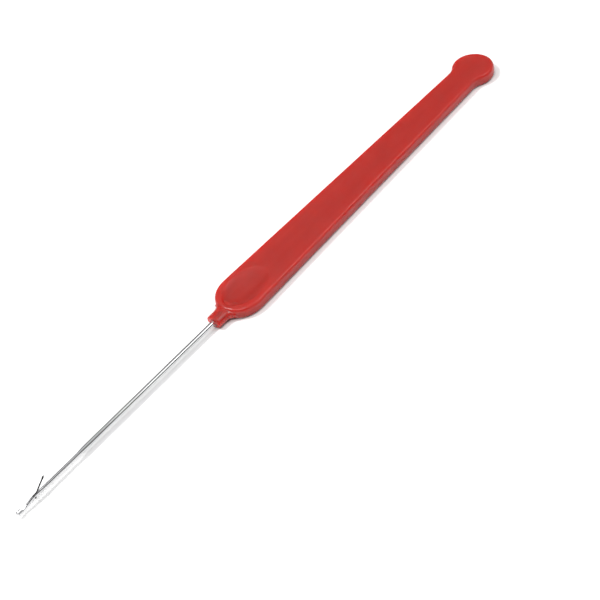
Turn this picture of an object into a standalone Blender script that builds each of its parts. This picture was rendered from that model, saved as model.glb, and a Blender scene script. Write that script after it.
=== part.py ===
"""Needle threader: a flat red moulded handle with a steel latch hook fixed in its neck.

Millimetres while building, metres in the scene. X runs from the hook (-X) to the disc-shaped
end of the handle (+X), Z is up, and the handle's underside lies on z = 0. Positions along the
tool are stations, measured back from the front face of the handle's neck.
"""

import math

import bmesh
import bpy
from mathutils import Matrix, Vector

MM = 0.001
ALONG = Vector((1, 0, 0))
ACROSS = Vector((0, 1, 0))
UP = Vector((0, 0, 1))

# Overall
OVERALL_LENGTH = 165.0
NEEDLE_REACH = 59.03  # hook tip to the neck's front face
NECK_FACE_X = NEEDLE_REACH - OVERALL_LENGTH / 2
NEEDLE_Z = 1.5

# Handle
HANDLE_THICKNESS = 3.0
TOP_EDGE = 0.75  # how far in from the outline the rounding reaches
BOTTOM_EDGE = 0.94
EDGE_FULLNESS = 2.4  # 2 is an ellipse, more is squarer
FRONT_CENTRE = 10.14
FRONT_LENGTH = 6.59
FRONT_HALF_WIDTH = 5.9
FRONT_FULLNESS = 2.15  # 2 is an ellipse, more is blunter
SIDE_TAPER = 0.0241  # half-width lost per millimetre
DISC_RADIUS = 5.45
DISC_CENTRE = OVERALL_LENGTH - NEEDLE_REACH - DISC_RADIUS
WAIST_FILLET = 4.4

# Neck: (station, half-width, half-height), round in front and flaring sideways into the nose
NECK_PROFILE = (
    (0.0, 1.65, 1.2),
    (0.08, 1.85, 1.34),
    (0.3, 1.94, 1.39),
    (2.3, 2.0, 1.4),
    (2.9, 2.1, 1.4),
    (3.3, 2.26, 1.4),
    (3.7, 2.6, 1.4),
    (4.1, 3.1, 1.4),
    (5.7, 3.1, 1.4),
)

# Thumb rest: an oval hollow in the top face, deepest towards the front
THUMB_FRONT = 4.7
THUMB_BACK = 18.0
THUMB_HALF_WIDTH = 4.3
THUMB_DEPTH = 0.75
THUMB_SHIFT = 2.4  # how far the deepest point lies ahead of the oval's centre
THUMB_FULLNESS = 3.0  # 2 is a plain bowl, more is flatter with steeper sides

# Needle
BORE_RADIUS = 0.59
BORE_DEPTH = 22.4
TANG_END = 22.0
STEM_RADIUS = 0.56
THIN_RADIUS = 0.39
STEP_BACK = -40.15
STEP_FRONT = -41.85
# (station, rise over the needle's axis, half-height, half-width), thin stem to the hook's shank
HOOK_SECTIONS = (
    (-49.35, 0.01, 0.39, 0.39),
    (-51.3, 0.03, 0.43, 0.37),
    (-53.26, 0.05, 0.51, 0.35),
    (-54.3, 0.02, 0.51, 0.34),
    (-55.34, -0.14, 0.44, 0.32),
    (-56.38, -0.35, 0.34, 0.29),
    (-57.43, -0.52, 0.25, 0.25),
)
BEND_STATION = -58.42
BEND_Z = 1.42
BEND_RADIUS = 0.43
BEND_START_WIRE = 0.22
BEND_END_WIRE = 0.135
BEND_SWEEP = (-92.0, -255.0)  # degrees, from straight down round the hook's nose
POINT_STATION = -57.75
POINT_Z = 1.93
POINT_WIRE = 0.06
SLOT_FRONT = -56.38
SLOT_BACK = -49.96
SLOT_WIDTH = 0.28

# Latch
RIVET_STATION = -54.0
RIVET_Z = 1.38
RIVET_RADIUS = 0.135
RIVET_HEAD_RADIUS = 0.23
RIVET_HEAD_HEIGHT = 0.05
RIVET_CLEARANCE = 0.02
CHEEK_HALF_WIDTH = 0.35
LATCH_LENGTH = 4.78
LATCH_THICKNESS = 0.22
LATCH_ROOT_RADIUS = 0.26
LATCH_HALF_HEIGHT = 0.14
LATCH_ANGLE = 38.3  # degrees above the stem, standing open
SPOON_LENGTH = 1.0
SPOON_HALF_WIDTH = 0.23
SPOON_HALF_HEIGHT = 0.165

FACETS = 24
EDGE_STEPS = 7


def clear_scene():
    for thing in list(bpy.data.objects):
        bpy.data.objects.remove(thing)


def material(name, colour, roughness, metallic):
    made = bpy.data.materials.new(name)
    made.use_nodes = True
    shader = made.node_tree.nodes["Principled BSDF"]
    shader.inputs["Base Color"].default_value = (*colour, 1.0)
    shader.inputs["Roughness"].default_value = roughness
    shader.inputs["Metallic"].default_value = metallic
    return made


def add_object(name, bm):
    """The bmesh, in millimetres, as a named object in metres."""
    bmesh.ops.scale(bm, vec=(MM, MM, MM), verts=bm.verts)
    bmesh.ops.recalc_face_normals(bm, faces=bm.faces)
    mesh = bpy.data.meshes.new(name)
    bm.to_mesh(mesh)
    bm.free()
    thing = bpy.data.objects.new(name, mesh)
    bpy.context.scene.collection.objects.link(thing)
    return thing


def loft(name, rings):
    """A closed body through rings of points, all with the same count, capped at both ends."""
    bm = bmesh.new()
    rows = [[bm.verts.new(point) for point in ring] for ring in rings]
    count = len(rows[0])
    for low, high in zip(rows, rows[1:]):
        for i in range(count):
            j = (i + 1) % count
            bm.faces.new((low[i], low[j], high[j], high[i]))
    bm.faces.new(rows[0])
    bm.faces.new(rows[-1])
    return add_object(name, bm)


def cut_or_join(target, tool, operation):
    """One exact Boolean, applied, with its tool removed."""
    step = target.modifiers.new(operation, "BOOLEAN")
    step.operation = operation
    step.solver = "EXACT"
    step.object = tool
    depsgraph = bpy.context.evaluated_depsgraph_get()
    result = bpy.data.meshes.new_from_object(target.evaluated_get(depsgraph))
    target.modifiers.remove(step)
    result.name = target.data.name
    target.data = result
    bpy.data.objects.remove(tool)


def arc(centre, radius, start, end, steps):
    """Points round an arc, angles in radians, both ends included."""
    points = []
    for i in range(steps + 1):
        angle = start + (end - start) * i / steps
        points.append(Vector(centre) + radius * Vector((math.cos(angle), math.sin(angle))))
    return points


def ellipse_ring(centre, across, up, half_across, half_up, count):
    """An ellipse about a centre, spanned by two unit vectors."""
    ring = []
    for i in range(count):
        angle = 2 * math.pi * (i + 0.5) / count
        ring.append(centre + across * half_across * math.cos(angle) + up * half_up * math.sin(angle))
    return ring


def pin_across(name, x, z, profile):
    """A turned pin along Y from (y, radius)."""
    rings = [ellipse_ring(Vector((x, y, z)), ALONG, UP, radius, radius, 16) for y, radius in profile]
    return loft(name, rings)


def half_outline():
    """The handle's plan outline on its +Y side, nose to disc end, as (station, half-width)."""
    tangent = math.atan(SIDE_TAPER * FRONT_LENGTH / FRONT_HALF_WIDTH)
    nose = []
    for point in arc((0, 0), 1.0, math.pi, math.pi / 2 - tangent, 22):
        back = math.copysign(abs(point.x) ** (2 / FRONT_FULLNESS), point.x)
        side = abs(point.y) ** (2 / FRONT_FULLNESS)
        nose.append(Vector((FRONT_CENTRE + FRONT_LENGTH * back, FRONT_HALF_WIDTH * side)))

    along = Vector((1.0, -SIDE_TAPER)).normalized()
    outward = Vector((SIDE_TAPER, 1.0)).normalized()
    disc = Vector((DISC_CENTRE, 0.0))
    to_side = outward.dot(nose[-1] - disc)
    back = math.sqrt((DISC_RADIUS + WAIST_FILLET) ** 2 - (to_side + WAIST_FILLET) ** 2)
    fillet = disc + outward * (to_side + WAIST_FILLET) - along * back
    start = math.atan2(-outward.y, -outward.x)
    end = math.atan2(disc.y - fillet.y, disc.x - fillet.x)
    waist = arc(fillet, WAIST_FILLET, start, end, 6)
    leave = math.atan2(fillet.y - disc.y, fillet.x - disc.x)
    end_arc = arc(disc, DISC_RADIUS, leave, 0.0, 22)
    return nose + waist + end_arc[1:]


def full_outline():
    half = half_outline()
    other = [Vector((point.x, -point.y)) for point in reversed(half[1:-1])]
    return half + other


def inset(outline, distance):
    """The closed outline moved inwards along its normals."""
    count = len(outline)
    moved = []
    for i, point in enumerate(outline):
        tangent = (outline[(i + 1) % count] - outline[i - 1]).normalized()
        moved.append(point + Vector((tangent.y, -tangent.x)) * distance)
    return moved


def handle_levels():
    """(inset, height) of the rings up the handle's side, which is fullest at mid-height."""
    levels = []
    for i in range(-EDGE_STEPS, EDGE_STEPS + 1):
        angle = 0.5 * math.pi * i / EDGE_STEPS
        reach = BOTTOM_EDGE if i < 0 else TOP_EDGE
        rise = math.copysign(abs(math.sin(angle)) ** (2 / EDGE_FULLNESS), i)
        inward = 1 - abs(math.cos(angle)) ** (2 / EDGE_FULLNESS)
        levels.append((reach * inward, 0.5 * HANDLE_THICKNESS * (1 + rise)))
    return levels


def handle_slab():
    outline = full_outline()
    rings = []
    for distance, height in handle_levels():
        ring = inset(outline, distance)
        rings.append([Vector((NECK_FACE_X + point.x, point.y, height)) for point in ring])
    return loft("handle", rings)


def round_along(name, profile):
    """A round or oval body along the needle's axis from (station, half-width, half-height)."""
    rings = []
    for station, half_width, half_height in profile:
        centre = Vector((NECK_FACE_X + station, 0, NEEDLE_Z))
        rings.append(ellipse_ring(centre, ACROSS, UP, half_width, half_height, FACETS))
    return loft(name, rings)


def thumb_cutter():
    """A bowl, steep at the front and shallow at the back, reaching above the top face."""
    centre = 0.5 * (THUMB_FRONT + THUMB_BACK)
    half_length = 0.5 * (THUMB_BACK - THUMB_FRONT)
    rings = []
    for share in (1.12, 1.0, 0.88, 0.74, 0.58, 0.4, 0.2, 0.04):
        depth = THUMB_DEPTH * (1 - share**THUMB_FULLNESS)
        station = centre - THUMB_SHIFT * (1 - share)
        middle = Vector((NECK_FACE_X + station, 0, HANDLE_THICKNESS - depth))
        half_across = THUMB_HALF_WIDTH * share
        rings.append(ellipse_ring(middle, ACROSS, ALONG, half_across, half_length * share, 40))
    return loft("thumb_cutter", rings)


def make_handle():
    handle = handle_slab()
    cut_or_join(handle, round_along("neck", NECK_PROFILE), "UNION")
    cut_or_join(handle, thumb_cutter(), "DIFFERENCE")
    bore = [(station, BORE_RADIUS, BORE_RADIUS) for station in (-1.0, BORE_DEPTH)]
    cut_or_join(handle, round_along("bore", bore), "DIFFERENCE")
    return handle


def needle_rings():
    """Rings from the tang's end forward along the stem, the shank, the bend and the hook's point."""
    rings = []
    for station, radius in (
        (TANG_END, STEM_RADIUS - 0.15),
        (TANG_END - 0.4, STEM_RADIUS),
        (STEP_BACK, STEM_RADIUS),
        (STEP_FRONT, THIN_RADIUS),
    ):
        rings.append((station, NEEDLE_Z, radius, radius, 0.0))
    for station, rise, half_height, half_width in HOOK_SECTIONS:
        rings.append((station, NEEDLE_Z + rise, half_height, half_width, 0.0))
    steps = 9
    for i in range(steps + 1):
        angle = math.radians(BEND_SWEEP[0] + (BEND_SWEEP[1] - BEND_SWEEP[0]) * i / steps)
        wire = BEND_START_WIRE + (BEND_END_WIRE - BEND_START_WIRE) * i / steps
        station = BEND_STATION + BEND_RADIUS * math.cos(angle)
        height = BEND_Z + BEND_RADIUS * math.sin(angle)
        rings.append((station, height, wire, wire, angle + math.pi / 2))
    rings.append((POINT_STATION, POINT_Z, POINT_WIRE, POINT_WIRE, math.pi))
    return rings


def slot_cutter():
    bm = bmesh.new()
    bmesh.ops.create_cube(bm, size=1.0)
    size = Vector((SLOT_BACK - SLOT_FRONT, SLOT_WIDTH, 3.0))
    middle = Vector((NECK_FACE_X + 0.5 * (SLOT_BACK + SLOT_FRONT), 0, NEEDLE_Z))
    placed = Matrix.Translation(middle) @ Matrix.Diagonal((*size, 1.0))
    bmesh.ops.transform(bm, matrix=placed, verts=bm.verts)
    return add_object("slot", bm)


def hole_cutter(x, z):
    radius = RIVET_RADIUS + RIVET_CLEARANCE
    return pin_across("hole", x, z, ((-2.0, radius), (2.0, radius)))


def make_needle():
    bodies = []
    for station, height, half_height, half_width, turn in needle_rings():
        up = Vector((-math.sin(turn), 0, math.cos(turn)))
        centre = Vector((NECK_FACE_X + station, 0, height))
        bodies.append(ellipse_ring(centre, ACROSS, up, half_width, half_height, 20))
    needle = loft("needle", bodies)
    cut_or_join(needle, slot_cutter(), "DIFFERENCE")
    cut_or_join(needle, hole_cutter(NECK_FACE_X + RIVET_STATION, RIVET_Z), "DIFFERENCE")
    return needle


def make_rivet():
    """A headed pin along Y through both cheeks."""
    shoulder = CHEEK_HALF_WIDTH + RIVET_CLEARANCE
    top = shoulder + RIVET_HEAD_HEIGHT
    profile = (
        (-top, 0.6 * RIVET_HEAD_RADIUS),
        (-shoulder - 0.4 * RIVET_HEAD_HEIGHT, RIVET_HEAD_RADIUS),
        (-shoulder, RIVET_HEAD_RADIUS),
        (-shoulder, RIVET_RADIUS),
        (shoulder, RIVET_RADIUS),
        (shoulder, RIVET_HEAD_RADIUS),
        (shoulder + 0.4 * RIVET_HEAD_HEIGHT, RIVET_HEAD_RADIUS),
        (top, 0.6 * RIVET_HEAD_RADIUS),
    )
    return pin_across("latch_rivet", NECK_FACE_X + RIVET_STATION, RIVET_Z, profile)


def latch_blade():
    """The flat blade with its round root, pointing back along the stem from the pivot."""
    root = arc((0, 0), LATCH_ROOT_RADIUS, math.radians(60), math.radians(300), 10)
    neck = LATCH_LENGTH - SPOON_LENGTH + 0.3
    outline = root + [Vector((0.6, -LATCH_HALF_HEIGHT)), Vector((neck, -0.8 * LATCH_HALF_HEIGHT))]
    outline += [Vector((neck, 0.8 * LATCH_HALF_HEIGHT)), Vector((0.6, LATCH_HALF_HEIGHT))]
    sides = (-0.5 * LATCH_THICKNESS, 0.5 * LATCH_THICKNESS)
    return loft("latch", [[Vector((point.x, y, point.y)) for point in outline] for y in sides])


def spoon():
    """The egg-shaped swelling at the latch's tip."""
    start = LATCH_LENGTH - SPOON_LENGTH
    rings = []
    for i in range(1, 10):
        angle = math.pi * i / 10
        middle = Vector((start + 0.5 * SPOON_LENGTH * (1 - math.cos(angle)), 0, 0))
        wide, high = SPOON_HALF_WIDTH * math.sin(angle), SPOON_HALF_HEIGHT * math.sin(angle)
        rings.append(ellipse_ring(middle, ACROSS, UP, wide, high, 14))
    return loft("spoon", rings)


def make_latch():
    """The latch on its rivet, standing open."""
    latch = latch_blade()
    cut_or_join(latch, spoon(), "UNION")
    cut_or_join(latch, hole_cutter(0.0, 0.0), "DIFFERENCE")
    latch.data.transform(Matrix.Rotation(-math.radians(LATCH_ANGLE), 4, "Y"))
    latch.location = Vector((NECK_FACE_X + RIVET_STATION, 0, RIVET_Z)) * MM
    return latch


def finish(thing, look, sharp_degrees):
    thing.data.materials.clear()
    thing.data.materials.append(look)
    for polygon in thing.data.polygons:
        polygon.use_smooth = True
    thing.data.set_sharp_from_angle(angle=math.radians(sharp_degrees))


def main():
    clear_scene()
    finish(make_handle(), material("handle", (0.50, 0.046, 0.036), 0.3, 0.0), 32)
    finish(make_needle(), material("needle", (0.72, 0.72, 0.74), 0.18, 1.0), 40)
    finish(make_rivet(), material("latch_rivet", (0.5, 0.5, 0.52), 0.3, 1.0), 40)
    finish(make_latch(), material("latch", (0.42, 0.42, 0.44), 0.3, 1.0), 40)


main()
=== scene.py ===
"""The looks of the needle threader: moulded red handle, drawn steel needle, latch and rivet.

Shapes are made in millimetres along the tool and turned into metres by `add_piece`. A station is
a distance measured back from the front face of the handle's neck, as in the CAD.
"""

import math

import bmesh
import bpy
import numpy as np
from mathutils import Matrix, Vector


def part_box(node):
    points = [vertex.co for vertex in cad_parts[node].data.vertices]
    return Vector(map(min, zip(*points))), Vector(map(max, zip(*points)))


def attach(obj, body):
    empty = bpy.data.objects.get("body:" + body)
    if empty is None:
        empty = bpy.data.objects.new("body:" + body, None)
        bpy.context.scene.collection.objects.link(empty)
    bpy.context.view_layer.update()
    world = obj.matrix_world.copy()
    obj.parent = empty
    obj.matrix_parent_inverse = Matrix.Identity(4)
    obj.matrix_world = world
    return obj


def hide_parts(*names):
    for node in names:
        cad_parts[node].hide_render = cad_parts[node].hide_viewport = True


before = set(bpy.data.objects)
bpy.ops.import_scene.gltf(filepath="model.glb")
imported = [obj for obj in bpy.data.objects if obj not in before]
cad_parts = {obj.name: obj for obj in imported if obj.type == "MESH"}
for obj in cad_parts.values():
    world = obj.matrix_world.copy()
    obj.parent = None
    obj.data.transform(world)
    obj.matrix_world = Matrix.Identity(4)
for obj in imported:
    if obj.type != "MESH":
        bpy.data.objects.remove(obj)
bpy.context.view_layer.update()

MM = 0.001
AHEAD, ACROSS, UP = Vector((1, 0, 0)), Vector((0, 1, 0)), Vector((0, 0, 1))
SHARP_ANGLE = 40  # degrees between faces that are shaded as an edge

# Where the CAD puts things, in millimetres
HANDLE_LOW, HANDLE_HIGH = (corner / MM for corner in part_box("handle"))
RIVET_LOW, RIVET_HIGH = (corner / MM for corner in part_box("latch_rivet"))
NECK_FACE_X = HANDLE_LOW.x
HANDLE_LENGTH = HANDLE_HIGH.x - HANDLE_LOW.x
THICKNESS = HANDLE_HIGH.z
NEEDLE_Z = 1.5

# Handle
TOP_EDGE = 0.75  # how far in from the outline the rounding reaches
BOTTOM_EDGE = 0.94
EDGE_FULLNESS = 2.4
EDGE_STEPS = 18
HANDLE_SHARP_ANGLE = 38
FRONT_CENTRE = 10.14
FRONT_LENGTH = 6.59
FRONT_HALF_WIDTH = 5.9
FRONT_FULLNESS = 2.15
SIDE_TAPER = 0.0241
DISC_RADIUS = 5.45
DISC_CENTRE = HANDLE_LENGTH - DISC_RADIUS
WAIST_FILLET = 4.4
PARTING_RIDGE = 0.03  # the mould's parting line stands this far proud at mid-height
PARTING_HALF_HEIGHT = 0.06
PARTING_KEEP_OUT = 1.5  # in half heights: nearer levels of the rounding give way to the ridge
NOSE_STEPS = 60
WAIST_STEPS = 16
DISC_STEPS = 56
FINE_ROW_GAP = 0.16  # between the rows that cross the thumb rest
FINE_ROWS_PAST_THUMB = 0.6
COARSE_ROW_GAP = 2.0
LAST_ROW_GAP = 2.5  # the rows stop this far before the waist
TOP_COLUMNS = 64
UNDERSIDE_COLUMNS = 8

# Thumb rest
THUMB_FRONT = 4.7
THUMB_BACK = 18.0
THUMB_HALF_WIDTH = 4.3
THUMB_DEPTH = 0.75
THUMB_SHIFT = 2.4
THUMB_FULLNESS = 3.0  # 2 is a plain bowl, more is flatter with steeper sides
THUMB_RISE_LIMIT = 1.3  # the bowl goes on rising to this many times the oval's size
THUMB_SEARCH_PAST = 3.0  # the bowl is looked up this far behind the oval
LIP_SOFTNESS = 0.05

# Neck: (station, half-width, half-height)
NECK_PROFILE = (
    (0.0, 1.65, 1.2),
    (0.08, 1.85, 1.34),
    (0.3, 1.94, 1.39),
    (2.3, 2.0, 1.4),
    (2.9, 2.1, 1.4),
    (3.3, 2.26, 1.4),
    (3.7, 2.6, 1.4),
    (4.1, 3.1, 1.4),
    (5.7, 3.1, 1.4),
)
NECK_STEPS = 4
NECK_SIDES = 96
BORE_RADIUS = 0.59
BORE_START = -1.0  # ahead of the neck's face, so that the cut opens it
BORE_DEPTH = 3.0
BORE_SIDES = 48

# Needle
TANG_END = 2.9
STEM_RADIUS = 0.56
THIN_RADIUS = 0.39
STEP_BACK = -40.15
STEP_FRONT = -41.85
STEP_LEAD = 0.25  # the wire is plain again this far past either end of the step
STEP_CORNER = 0.1
STEP_EASE = 0.01
# Shank and cheeks: (station, rise over the stem's axis, half-height, half-width)
HOOK_SECTIONS = (
    (-49.35, 0.01, 0.39, 0.39),
    (-51.3, 0.03, 0.43, 0.37),
    (-53.26, 0.05, 0.51, 0.35),
    (-54.3, 0.02, 0.51, 0.34),
    (-55.34, -0.14, 0.44, 0.32),
    (-56.38, -0.35, 0.34, 0.29),
    (-57.43, -0.52, 0.25, 0.25),
)
SHANK_STEPS = 6
BEND_STATION = -58.42
BEND_Z = 1.42
BEND_RADIUS = 0.43
BEND_START_WIRE = 0.22
BEND_END_WIRE = 0.13
BEND_SWEEP = (-92.0, -255.0)
BEND_STEPS = 28
POINT_STATION = -57.75
POINT_Z = 1.93
POINT_WIRE = 0.06
SLOT_FRONT = -56.38
SLOT_BACK = -49.96
SLOT_WIDTH = 0.28
SLOT_CUT_HEIGHT = 3.0  # right through the cheeks
NEEDLE_SIDES = 56

# Latch
RIVET_STATION = 0.5 * (RIVET_LOW.x + RIVET_HIGH.x) - NECK_FACE_X
RIVET_Z = 0.5 * (RIVET_LOW.z + RIVET_HIGH.z)
RIVET_RADIUS = 0.135
RIVET_HEAD_RADIUS = 0.23
RIVET_HEAD_HEIGHT = 0.05
RIVET_HEAD_CROWN = 0.35  # share of the head's radius that is flat on top
RIVET_HEAD_STEPS = 6
RIVET_SIDES = 40
RIVET_CLEARANCE = 0.02
HOLE_SIDES = 32
NEEDLE_HOLE_REACH = 2.0
LATCH_HOLE_REACH = 1.0
CHEEK_HALF_WIDTH = 0.35
LATCH_LENGTH = 4.78
LATCH_HALF_THICKNESS = 0.11
LATCH_ROOT_RADIUS = 0.26
LATCH_ROOT_SWEEP = (40.0, 320.0)
LATCH_ROOT_STEPS = 36
LATCH_HALF_HEIGHT = 0.14
LATCH_BLADE_START = 0.6
LATCH_TIP_SHARE = 0.8  # the blade's height at the spoon, as a share of its height at the root
# (share of the half-thickness, how far the outline is drawn in): a flat blade, edges bevelled
LATCH_LAYERS = ((-1, 0.03), (-0.7, 0.0), (0.7, 0.0), (1, 0.03))
LATCH_ANGLE = 38.3
SPOON_LENGTH = 1.0
SPOON_HALF_WIDTH = 0.23
SPOON_HALF_HEIGHT = 0.165
SPOON_OVERLAP = 0.3
SPOON_STEPS = 20
SPOON_SIDES = 32

# Looks: noise scales are per metre and bump heights in metres. An "along" is a noise's scale
# along the tool as a share of its scale across, so that its marks run lengthwise.
NOISE_RANGE = (0.3, 0.7)  # the part of a noise's range that a change is spread over
PLASTIC_DARK = (0.37, 0.029, 0.023)
PLASTIC_LIGHT = (0.40, 0.033, 0.026)
PLASTIC_ROUGHNESS = (0.15, 0.23)
PLASTIC_IOR = 1.49
PLASTIC_SPECULAR = 0.35
SCATTER_WEIGHT = 1.0
SCATTER_RADIUS = (1.0, 0.08, 0.06)
SCATTER_SCALE = 0.009
MOTTLE_SCALE, MOTTLE_ALONG = 420, 0.35
SCUFF_SCALE, SCUFF_ALONG = 2600, 0.06
SCUFF_HEIGHT, SCUFF_STRENGTH = 0.000004, 0.4
WEAR_SCALE = 160
RIPPLE_SCALE = 900
RIPPLE_HEIGHT, RIPPLE_STRENGTH = 0.00002, 0.5
HAIRLINE_SCALE, HAIRLINE_ALONG = 9000, 0.02
HAIRLINE_HEIGHT, HAIRLINE_STRENGTH = 0.000004, 0.5
STEEL_TONE_SCALE, STEEL_TONE_ALONG = 700, 0.2
# (lighter colour, darker colour, lowest roughness, highest roughness)
NEEDLE_STEEL = ((0.66, 0.66, 0.67), (0.58, 0.58, 0.59), 0.08, 0.15)
LATCH_STEEL = ((0.05, 0.05, 0.052), (0.03, 0.03, 0.031), 0.28, 0.40)
RIVET_STEEL = ((0.14, 0.14, 0.143), (0.09, 0.09, 0.092), 0.25, 0.35)
FLOOR_TONE_SCALE = 3
FLOOR_TONES = (0.9, 0.92)
FLOOR_ROUGHNESS = 0.9

# Camera: where it looks on the floor, and how it stands to that point
CAMERA_TARGET = Vector((-0.007243, -0.011364, 0.0))
CAMERA_BACK = Vector((-0.44647, -0.53594, 0.71654)).normalized()
CAMERA_DISTANCE = 0.27342
CAMERA_ROLL = -14.39
CAMERA_LENS = 74.083
CAMERA_SENSOR = 36.0
CAMERA_CLIP = (0.01, 10.0)

# Light
WORLD_RISE = (0.6, 0.98)  # sines of the heights between which the sky brightens
WORLD_STRENGTHS = (0.08, 0.9)
FLOOR_SIZE = 3.0
# name: (compass degrees from +X, degrees above the floor, distance, size, watts)
LIGHTS = {
    "key": (125.0, 60.0, 0.9, 0.24, 5.0),
    "top": (-145.0, 66.0, 1.0, 0.4, 3.6),
    "side": (-38.0, 52.0, 1.0, 0.6, 2.4),
}


# ---------------------------------------------------------------- mesh helpers


def add_piece(name, bm):
    """The bmesh, in millimetres, as a smooth-shaded object in metres."""
    bmesh.ops.scale(bm, vec=(MM, MM, MM), verts=bm.verts)
    bmesh.ops.recalc_face_normals(bm, faces=bm.faces)
    mesh = bpy.data.meshes.new(name)
    bm.to_mesh(mesh)
    bm.free()
    piece = bpy.data.objects.new(name, mesh)
    bpy.context.scene.collection.objects.link(piece)
    shade(piece)
    return piece


def shade(piece, sharp_degrees=SHARP_ANGLE):
    piece.data.shade_smooth()
    piece.data.set_sharp_from_angle(angle=math.radians(sharp_degrees))


def join_rings(bm, rings):
    """Faces between rings of vertices, all with the same count."""
    count = len(rings[0])
    for low, high in zip(rings, rings[1:]):
        for i in range(count):
            j = (i + 1) % count
            bm.faces.new((low[i], low[j], high[j], high[i]))


def loft(name, rings):
    """A closed body through rings of points, all with the same count, capped at both ends."""
    bm = bmesh.new()
    rows = [[bm.verts.new(point) for point in ring] for ring in rings]
    join_rings(bm, rows)
    bm.faces.new(rows[0])
    bm.faces.new(rows[-1])
    return add_piece(name, bm)


def cut_or_join(target, tool, operation):
    """One exact Boolean, applied, with its tool removed."""
    step = target.modifiers.new(operation, "BOOLEAN")
    step.operation = operation
    step.solver = "EXACT"
    step.object = tool
    depsgraph = bpy.context.evaluated_depsgraph_get()
    result = bpy.data.meshes.new_from_object(target.evaluated_get(depsgraph))
    target.modifiers.remove(step)
    target.data = result
    bpy.data.objects.remove(tool)


def ellipse_ring(centre, across, up, half_across, half_up, count):
    """An ellipse about a centre, spanned by two unit vectors."""
    ring = []
    for i in range(count):
        angle = 2 * math.pi * (i + 0.5) / count
        sideways = across * half_across * math.cos(angle)
        ring.append(centre + sideways + up * half_up * math.sin(angle))
    return ring


def smoothed(rows, steps):
    """Each gap between rows of numbers cut into `steps`, on a curve that doesn't overshoot."""
    rows = np.array(rows, float)
    run = rows[:, 0]
    slopes = np.diff(rows, axis=0) / np.diff(run)[:, None]
    ends = np.vstack([slopes[:1], np.zeros_like(slopes[1:]), slopes[-1:]])
    same_way = slopes[1:] * slopes[:-1] > 0
    mean = 2 * slopes[1:] * slopes[:-1] / np.where(same_way, slopes[1:] + slopes[:-1], 1.0)
    ends[1:-1] = np.where(same_way, mean, 0.0)
    made = []
    for i in range(len(rows) - 1):
        gap = run[i + 1] - run[i]
        for t in np.arange(steps) / steps:
            value = (1 + 2 * t) * (1 - t) ** 2 * rows[i] + t * (1 - t) ** 2 * gap * ends[i]
            value = value + t * t * (3 - 2 * t) * rows[i + 1] + t * t * (t - 1) * gap * ends[i + 1]
            value[0] = run[i] + gap * t
            made.append(value)
    made.append(rows[-1])
    return [tuple(float(x) for x in row) for row in made]


# ---------------------------------------------------------------- handle


def arc(centre, radius, start, end, steps):
    """Points round an arc, angles in radians, both ends included."""
    points = []
    for i in range(steps + 1):
        angle = start + (end - start) * i / steps
        x = centre[0] + radius * math.cos(angle)
        y = centre[1] + radius * math.sin(angle)
        points.append(Vector((x, y)))
    return points


def half_outline():
    """The handle's plan outline on its +Y side, nose to disc end, as (station, half-width)."""
    tangent = math.atan(SIDE_TAPER * FRONT_LENGTH / FRONT_HALF_WIDTH)
    nose = []
    for point in arc((0, 0), 1.0, math.pi, math.pi / 2 - tangent, NOSE_STEPS):
        back = math.copysign(abs(point.x) ** (2 / FRONT_FULLNESS), point.x)
        side = abs(point.y) ** (2 / FRONT_FULLNESS)
        nose.append(Vector((FRONT_CENTRE + FRONT_LENGTH * back, FRONT_HALF_WIDTH * side)))

    along = Vector((1.0, -SIDE_TAPER)).normalized()
    outward = Vector((SIDE_TAPER, 1.0)).normalized()
    disc = Vector((DISC_CENTRE, 0.0))
    to_side = outward.dot(nose[-1] - disc)
    ahead = math.sqrt((DISC_RADIUS + WAIST_FILLET) ** 2 - (to_side + WAIST_FILLET) ** 2)
    fillet = disc + outward * (to_side + WAIST_FILLET) - along * ahead
    start = math.atan2(-outward.y, -outward.x)
    end = math.atan2(disc.y - fillet.y, disc.x - fillet.x)
    waist = arc(fillet, WAIST_FILLET, start, end, WAIST_STEPS)
    leave = math.atan2(fillet.y - disc.y, fillet.x - disc.x)
    end_arc = arc(disc, DISC_RADIUS, leave, 0.0, DISC_STEPS)

    side = []
    station = nose[-1].x
    while station < waist[0].x - LAST_ROW_GAP:
        fine = station < THUMB_BACK + FINE_ROWS_PAST_THUMB
        station += FINE_ROW_GAP if fine else COARSE_ROW_GAP
        share = (station - nose[-1].x) / (waist[0].x - nose[-1].x)
        side.append(nose[-1].lerp(waist[0], share))
    return nose + side + waist + end_arc[1:]


def inset(half, distance):
    """The half outline moved inwards along its normals, its ends kept on the centre line."""
    mirrored = [Vector((half[1].x, -half[1].y))] + half + [Vector((half[-2].x, -half[-2].y))]
    moved = []
    for before, point, after in zip(mirrored, half, mirrored[2:]):
        tangent = (after - before).normalized()
        moved.append(point + Vector((tangent.y, -tangent.x)) * distance)
    moved[0].y = moved[-1].y = 0.0
    return moved


def handle_levels():
    """(inset, height) up the side, fullest at mid-height where the parting ridge stands proud."""
    levels = []
    for i in range(-EDGE_STEPS, EDGE_STEPS + 1):
        angle = 0.5 * math.pi * i / EDGE_STEPS
        reach = BOTTOM_EDGE if i < 0 else TOP_EDGE
        rise = math.copysign(abs(math.sin(angle)) ** (2 / EDGE_FULLNESS), i)
        inward = 1 - abs(math.cos(angle)) ** (2 / EDGE_FULLNESS)
        levels.append((max(reach * inward, PARTING_RIDGE), 0.5 * THICKNESS * (1 + rise)))
    middle = 0.5 * THICKNESS
    keep_out = PARTING_KEEP_OUT * PARTING_HALF_HEIGHT
    levels = [level for level in levels if abs(level[1] - middle) > keep_out]
    for share in (-1.0, -0.5, 0.0, 0.5, 1.0):
        levels.append((PARTING_RIDGE * abs(share), middle + PARTING_HALF_HEIGHT * share))
    return sorted(levels, key=lambda level: level[1])


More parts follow.
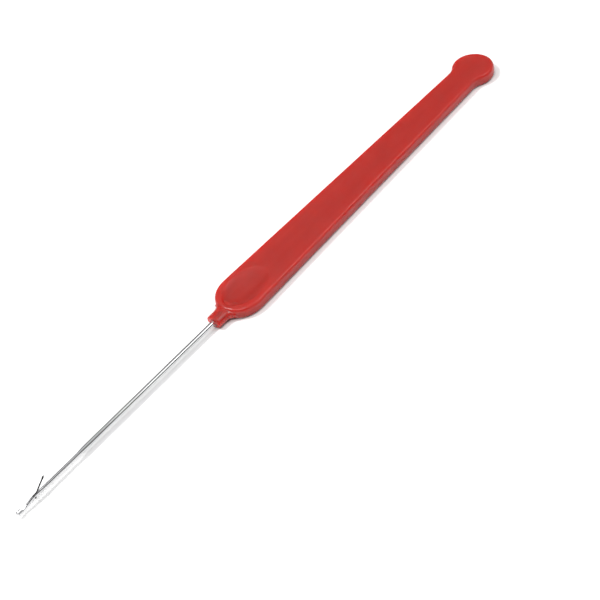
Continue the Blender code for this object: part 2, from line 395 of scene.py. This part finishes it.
def thumb_surface(station, side):
    """Height of the bowl of the thumb rest, which rises above the top face outside the oval."""
    half_length = 0.5 * (THUMB_BACK - THUMB_FRONT)
    ahead = station - 0.5 * (THUMB_FRONT + THUMB_BACK) + THUMB_SHIFT
    spread = ahead**2 + (half_length * side / THUMB_HALF_WIDTH) ** 2
    left = half_length**2 - THUMB_SHIFT**2
    share = (math.sqrt((ahead * THUMB_SHIFT) ** 2 + left * spread) - ahead * THUMB_SHIFT) / left
    return THICKNESS - THUMB_DEPTH * (1 - min(share, THUMB_RISE_LIMIT) ** THUMB_FULLNESS)


def lower_of(a, b, softness):
    """The smaller of two heights, rounded where they cross."""
    return 0.5 * (a + b - math.sqrt((a - b) ** 2 + softness**2))


def surface_point(station, side, height):
    """A point on the handle's outside, lowered into the thumb rest where that is deeper."""
    if height > 0.5 * THICKNESS and station < THUMB_BACK + THUMB_SEARCH_PAST:
        height = min(height, lower_of(height, thumb_surface(station, side), LIP_SOFTNESS))
    return Vector((NECK_FACE_X + station, side, height))


def across_row(bm, ends, columns, height):
    """Vertices from the row's end on +Y to its mirror, `ends` being the two that exist already."""
    station = ends[0].co.x - NECK_FACE_X
    half_width = ends[0].co.y
    row = [ends[0]]
    for i in range(1, columns):
        side = half_width * (1 - 2 * i / columns)
        row.append(bm.verts.new(surface_point(station, side, height)))
    row.append(ends[1])
    return row


def cap(bm, ring, columns, height):
    """Closes the ring with rows across it, with fans at the nose and the disc's end."""
    count = len(ring) // 2
    rows = [across_row(bm, (ring[i], ring[-i]), columns, height) for i in range(1, count)]
    for low, high in zip(rows, rows[1:]):
        for i in range(columns):
            bm.faces.new((low[i], low[i + 1], high[i + 1], high[i]))
    for i in range(columns):
        bm.faces.new((ring[0], rows[0][i], rows[0][i + 1]))
        bm.faces.new((ring[count], rows[-1][i + 1], rows[-1][i]))


def handle_body():
    bm = bmesh.new()
    half = half_outline()
    rings = []
    for distance, height in handle_levels():
        moved = inset(half, distance)
        ring = moved + [Vector((point.x, -point.y)) for point in reversed(moved[1:-1])]
        rings.append([bm.verts.new(surface_point(point.x, point.y, height)) for point in ring])
    join_rings(bm, rings)
    cap(bm, rings[0], UNDERSIDE_COLUMNS, 0.0)
    cap(bm, rings[-1], TOP_COLUMNS, THICKNESS)
    return add_piece("handle_shell", bm)


def round_along(name, profile, count):
    """A round or oval body along the needle's axis from (station, half-width, half-height)."""
    rings = []
    for station, half_width, half_height in profile:
        centre = Vector((NECK_FACE_X + station, 0, NEEDLE_Z))
        rings.append(ellipse_ring(centre, ACROSS, UP, half_width, half_height, count))
    return loft(name, rings)


def make_handle():
    handle = handle_body()
    profile = NECK_PROFILE[:2] + tuple(smoothed(NECK_PROFILE[2:], NECK_STEPS))
    cut_or_join(handle, round_along("neck", profile, NECK_SIDES), "UNION")
    ends = [(station, BORE_RADIUS, BORE_RADIUS) for station in (BORE_START, BORE_DEPTH)]
    cut_or_join(handle, round_along("bore", ends, BORE_SIDES), "DIFFERENCE")
    shade(handle, HANDLE_SHARP_ANGLE)
    return handle


# ---------------------------------------------------------------- needle, rivet, latch


def needle_rings():
    """Rings from the tang's end to the hook's point, each with how far its plane is turned.

    A ring is (station, height, half-height, half-width, turn in radians).
    """
    rows = [
        (TANG_END, STEM_RADIUS),
        (STEP_BACK + STEP_LEAD, STEM_RADIUS),
        (STEP_BACK - STEP_CORNER, STEM_RADIUS - STEP_EASE),
        (STEP_FRONT + STEP_CORNER, THIN_RADIUS + STEP_EASE),
        (STEP_FRONT - STEP_LEAD, THIN_RADIUS),
    ]
    rings = [(station, NEEDLE_Z, radius, radius, 0.0) for station, radius in rows]
    sections = [(-station, NEEDLE_Z + rise, *rest) for station, rise, *rest in HOOK_SECTIONS]
    rings += [(-station, *rest, 0.0) for station, *rest in smoothed(sections, SHANK_STEPS)]
    for i in range(BEND_STEPS + 1):
        angle = math.radians(BEND_SWEEP[0] + (BEND_SWEEP[1] - BEND_SWEEP[0]) * i / BEND_STEPS)
        wire = BEND_START_WIRE + (BEND_END_WIRE - BEND_START_WIRE) * i / BEND_STEPS
        station = BEND_STATION + BEND_RADIUS * math.cos(angle)
        height = BEND_Z + BEND_RADIUS * math.sin(angle)
        rings.append((station, height, wire, wire, angle + math.pi / 2))
    rings.append((POINT_STATION, POINT_Z, POINT_WIRE, POINT_WIRE, math.pi))
    return rings


def slot_cutter():
    """The slot between the cheeks, square at both ends and open above and below."""
    bm = bmesh.new()
    bmesh.ops.create_cube(bm, size=1.0)
    size = Vector((SLOT_BACK - SLOT_FRONT, SLOT_WIDTH, SLOT_CUT_HEIGHT))
    middle = Vector((NECK_FACE_X + 0.5 * (SLOT_BACK + SLOT_FRONT), 0, NEEDLE_Z))
    placed = Matrix.Translation(middle) @ Matrix.Diagonal((*size, 1.0))
    bmesh.ops.transform(bm, matrix=placed, verts=bm.verts)
    return add_piece("slot", bm)


def pin_along_y(name, profile, station, z, count):
    """A turned pin across the tool from (y, radius)."""
    rings = []
    for y, radius in profile:
        centre = Vector((NECK_FACE_X + station, y, z))
        rings.append(ellipse_ring(centre, AHEAD, UP, radius, radius, count))
    return loft(name, rings)


def rivet_hole(name, reach, station, z):
    """The cutter for the rivet's hole, reaching the same distance to both sides."""
    radius = RIVET_RADIUS + RIVET_CLEARANCE
    return pin_along_y(name, ((-reach, radius), (reach, radius)), station, z, HOLE_SIDES)


def make_needle():
    bodies = []
    for station, height, half_height, half_width, turn in needle_rings():
        up = Vector((-math.sin(turn), 0, math.cos(turn)))
        centre = Vector((NECK_FACE_X + station, 0, height))
        bodies.append(ellipse_ring(centre, ACROSS, up, half_width, half_height, NEEDLE_SIDES))
    needle = loft("needle_steel", bodies)
    cut_or_join(needle, slot_cutter(), "DIFFERENCE")
    hole = rivet_hole("hole", NEEDLE_HOLE_REACH, RIVET_STATION, RIVET_Z)
    cut_or_join(needle, hole, "DIFFERENCE")
    shade(needle)
    return needle


def make_rivet():
    shoulder = CHEEK_HALF_WIDTH + RIVET_CLEARANCE
    side = []
    for i in range(RIVET_HEAD_STEPS + 1):
        angle = 0.5 * math.pi * i / RIVET_HEAD_STEPS
        share = RIVET_HEAD_CROWN + (1 - RIVET_HEAD_CROWN) * math.cos(angle)
        side.append((shoulder + RIVET_HEAD_HEIGHT * math.sin(angle), RIVET_HEAD_RADIUS * share))
    profile = [(shoulder, RIVET_RADIUS)] + side
    whole = [(-y, radius) for y, radius in reversed(profile)] + profile
    return pin_along_y("rivet_steel", whole, RIVET_STATION, RIVET_Z, RIVET_SIDES)


def latch_blade():
    """The blade with its round root, bevelled a little along its edges."""
    start, end = (math.radians(angle) for angle in LATCH_ROOT_SWEEP)
    root = arc((0, 0), LATCH_ROOT_RADIUS, start, end, LATCH_ROOT_STEPS)
    tip = LATCH_LENGTH - SPOON_LENGTH + SPOON_OVERLAP
    tip_half = LATCH_TIP_SHARE * LATCH_HALF_HEIGHT
    outline = root + [Vector((LATCH_BLADE_START, -LATCH_HALF_HEIGHT)), Vector((tip, -tip_half))]
    outline += [Vector((tip, tip_half)), Vector((LATCH_BLADE_START, LATCH_HALF_HEIGHT))]
    rings = []
    for layer, shrink in LATCH_LAYERS:
        ring = []
        neighbours = zip(outline[-1:] + outline, outline, outline[1:] + outline[:1])
        for before, point, after in neighbours:
            tangent = (after - before).normalized()
            x, z = point.x - tangent.y * shrink, point.y + tangent.x * shrink
            ring.append(Vector((x, layer * LATCH_HALF_THICKNESS, z)))
        rings.append(ring)
    return loft("latch_steel", rings)


def spoon():
    """The spoon at the latch's tip, a long oval swelling."""
    start = LATCH_LENGTH - SPOON_LENGTH
    rings = []
    for i in range(1, SPOON_STEPS):
        angle = math.pi * i / SPOON_STEPS
        middle = Vector((start + 0.5 * SPOON_LENGTH * (1 - math.cos(angle)), 0, 0))
        wide, high = SPOON_HALF_WIDTH * math.sin(angle), SPOON_HALF_HEIGHT * math.sin(angle)
        rings.append(ellipse_ring(middle, ACROSS, UP, wide, high, SPOON_SIDES))
    return loft("spoon", rings)


def make_latch():
    latch = latch_blade()
    cut_or_join(latch, spoon(), "UNION")
    hole = rivet_hole("pin_hole", LATCH_HOLE_REACH, -NECK_FACE_X, 0.0)
    cut_or_join(latch, hole, "DIFFERENCE")
    latch.data.transform(Matrix.Rotation(-math.radians(LATCH_ANGLE), 4, "Y"))
    latch.location = Vector((NECK_FACE_X + RIVET_STATION, 0, RIVET_Z)) * MM
    shade(latch)
    return latch


# ---------------------------------------------------------------- materials


def new_material(name):
    made = bpy.data.materials.new(name)
    made.use_nodes = True
    tree = made.node_tree
    return made, tree, tree.nodes["Principled BSDF"]


def place(tree, along=1.0):
    """Object coordinates, their scale along the tool changed so that marks run lengthwise."""
    coordinates = tree.nodes.new("ShaderNodeTexCoord")
    mapping = tree.nodes.new("ShaderNodeMapping")
    mapping.inputs["Scale"].default_value = (along, 1.0, 1.0)
    tree.links.new(coordinates.outputs["Object"], mapping.inputs["Vector"])
    return mapping.outputs["Vector"]


def noise(tree, vector, scale, detail=3.0, roughness=0.5):
    made = tree.nodes.new("ShaderNodeTexNoise")
    made.inputs["Scale"].default_value = scale
    made.inputs["Detail"].default_value = detail
    made.inputs["Roughness"].default_value = roughness
    tree.links.new(vector, made.inputs["Vector"])
    return made.outputs["Fac"]


def remap(tree, value, low, high, new_low, new_high):
    made = tree.nodes.new("ShaderNodeMapRange")
    ends = {"From Min": low, "From Max": high, "To Min": new_low, "To Max": new_high}
    for name, number in ends.items():
        made.inputs[name].default_value = number
    tree.links.new(value, made.inputs["Value"])
    return made.outputs["Result"]


def blend_colours(tree, factor, first, second):
    made = tree.nodes.new("ShaderNodeMix")
    made.data_type = "RGBA"
    made.inputs["A"].default_value = (*first, 1.0)
    made.inputs["B"].default_value = (*second, 1.0)
    tree.links.new(factor, made.inputs["Factor"])
    return made.outputs["Result"]


def bump(tree, height, distance, strength, normal=None):
    made = tree.nodes.new("ShaderNodeBump")
    made.inputs["Distance"].default_value = distance
    made.inputs["Strength"].default_value = strength
    tree.links.new(height, made.inputs["Height"])
    if normal is not None:
        tree.links.new(normal, made.inputs["Normal"])
    return made.outputs["Normal"]


def red_plastic():
    """Glossy moulded plastic: faint flow mottling, fine ripple and light handling scuffs."""
    made, tree, shader = new_material("red_plastic")
    everywhere = place(tree)
    mottle = noise(tree, place(tree, MOTTLE_ALONG), MOTTLE_SCALE, 4)
    share = remap(tree, mottle, *NOISE_RANGE, 0, 1)
    colour = blend_colours(tree, share, PLASTIC_DARK, PLASTIC_LIGHT)
    tree.links.new(colour, shader.inputs["Base Color"])
    scuffs = noise(tree, place(tree, SCUFF_ALONG), SCUFF_SCALE, 2, 0.6)
    wear = noise(tree, everywhere, WEAR_SCALE, 3)
    rough = remap(tree, wear, *NOISE_RANGE, *PLASTIC_ROUGHNESS)
    tree.links.new(rough, shader.inputs["Roughness"])
    ripple_noise = noise(tree, everywhere, RIPPLE_SCALE, 2)
    ripple = bump(tree, ripple_noise, RIPPLE_HEIGHT, RIPPLE_STRENGTH)
    scuffed = bump(tree, scuffs, SCUFF_HEIGHT, SCUFF_STRENGTH, ripple)
    tree.links.new(scuffed, shader.inputs["Normal"])
    shader.inputs["IOR"].default_value = PLASTIC_IOR
    shader.inputs["Specular IOR Level"].default_value = PLASTIC_SPECULAR
    shader.inputs["Subsurface Weight"].default_value = SCATTER_WEIGHT
    shader.inputs["Subsurface Radius"].default_value = SCATTER_RADIUS
    shader.inputs["Subsurface Scale"].default_value = SCATTER_SCALE
    return made


def drawn_steel(name, light, dark, smooth, rough):
    """Drawn steel: hairlines along the length and a slight change of tone."""
    made, tree, shader = new_material(name)
    lines = noise(tree, place(tree, HAIRLINE_ALONG), HAIRLINE_SCALE, 2)
    tone = noise(tree, place(tree, STEEL_TONE_ALONG), STEEL_TONE_SCALE, 3)
    colour = blend_colours(tree, remap(tree, tone, *NOISE_RANGE, 0, 1), dark, light)
    tree.links.new(colour, shader.inputs["Base Color"])
    roughness = remap(tree, lines, *NOISE_RANGE, smooth, rough)
    tree.links.new(roughness, shader.inputs["Roughness"])
    scratched = bump(tree, lines, HAIRLINE_HEIGHT, HAIRLINE_STRENGTH)
    tree.links.new(scratched, shader.inputs["Normal"])
    shader.inputs["Metallic"].default_value = 1.0
    return made


def studio_floor():
    made, tree, shader = new_material("studio_floor")
    cloud = noise(tree, place(tree), FLOOR_TONE_SCALE, 2)
    tone = remap(tree, cloud, *NOISE_RANGE, *FLOOR_TONES)
    colour = tree.nodes.new("ShaderNodeCombineColor")
    for channel in ("Red", "Green", "Blue"):
        tree.links.new(tone, colour.inputs[channel])
    tree.links.new(colour.outputs["Color"], shader.inputs["Base Color"])
    shader.inputs["Roughness"].default_value = FLOOR_ROUGHNESS
    shader.inputs["Specular IOR Level"].default_value = 0.0
    return made


def dress(piece, look, body, node):
    piece.data.materials.clear()
    piece.data.materials.append(look)
    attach(piece, body)
    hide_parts(node)


# ---------------------------------------------------------------- stage


def make_floor():
    bm = bmesh.new()
    bmesh.ops.create_grid(bm, x_segments=1, y_segments=1, size=0.5 * FLOOR_SIZE / MM)
    floor = add_piece("floor", bm)
    floor.data.materials.append(studio_floor())


def make_lights():
    world = bpy.data.worlds.new("studio")
    world.use_nodes = True
    tree = world.node_tree
    coordinates = tree.nodes.new("ShaderNodeTexCoord")
    direction = tree.nodes.new("ShaderNodeSeparateXYZ")
    tree.links.new(coordinates.outputs["Generated"], direction.inputs["Vector"])
    height = tree.nodes.new("ShaderNodeMath")
    height.operation = "ABSOLUTE"
    tree.links.new(direction.outputs["Z"], height.inputs[0])
    glow = remap(tree, height.outputs["Value"], *WORLD_RISE, *WORLD_STRENGTHS)
    background = tree.nodes["Background"]
    background.inputs["Color"].default_value = (1.0, 1.0, 1.0, 1.0)
    tree.links.new(glow, background.inputs["Strength"])
    bpy.context.scene.world = world

    for name, (compass, above, distance, size, watts) in LIGHTS.items():
        light = bpy.data.lights.new(name, "AREA")
        light.shape = "DISK"
        light.size = size
        light.energy = watts
        lamp = bpy.data.objects.new(name, light)
        compass, above = math.radians(compass), math.radians(above)
        level = math.cos(above)
        way = Vector((math.cos(compass) * level, math.sin(compass) * level, math.sin(above)))
        lamp.location = way * distance
        lamp.rotation_mode = "QUATERNION"
        lamp.rotation_quaternion = way.to_track_quat("Z", "Y")
        bpy.context.scene.collection.objects.link(lamp)


def make_camera():
    data = bpy.data.cameras.new("camera")
    data.sensor_width = CAMERA_SENSOR
    data.lens = CAMERA_LENS
    data.clip_start, data.clip_end = CAMERA_CLIP
    camera = bpy.data.objects.new("camera", data)
    camera.location = CAMERA_TARGET + CAMERA_BACK * CAMERA_DISTANCE
    camera.rotation_mode = "QUATERNION"
    level = CAMERA_BACK.to_track_quat("Z", "Y")
    roll = Matrix.Rotation(math.radians(CAMERA_ROLL), 4, "Z").to_quaternion()
    camera.rotation_quaternion = level @ roll
    bpy.context.scene.collection.objects.link(camera)
    bpy.context.scene.camera = camera


steel = drawn_steel("drawn_steel", *NEEDLE_STEEL)
latch_steel = drawn_steel("latch_steel", *LATCH_STEEL)
rivet_steel = drawn_steel("rivet_steel", *RIVET_STEEL)
dress(make_handle(), red_plastic(), "tool", "handle")
dress(make_needle(), steel, "tool", "needle")
dress(make_rivet(), rivet_steel, "tool", "latch_rivet")
dress(make_latch(), latch_steel, "latch", "latch")
make_floor()
make_lights()
make_camera()
bpy.context.scene.view_settings.view_transform = "Standard"
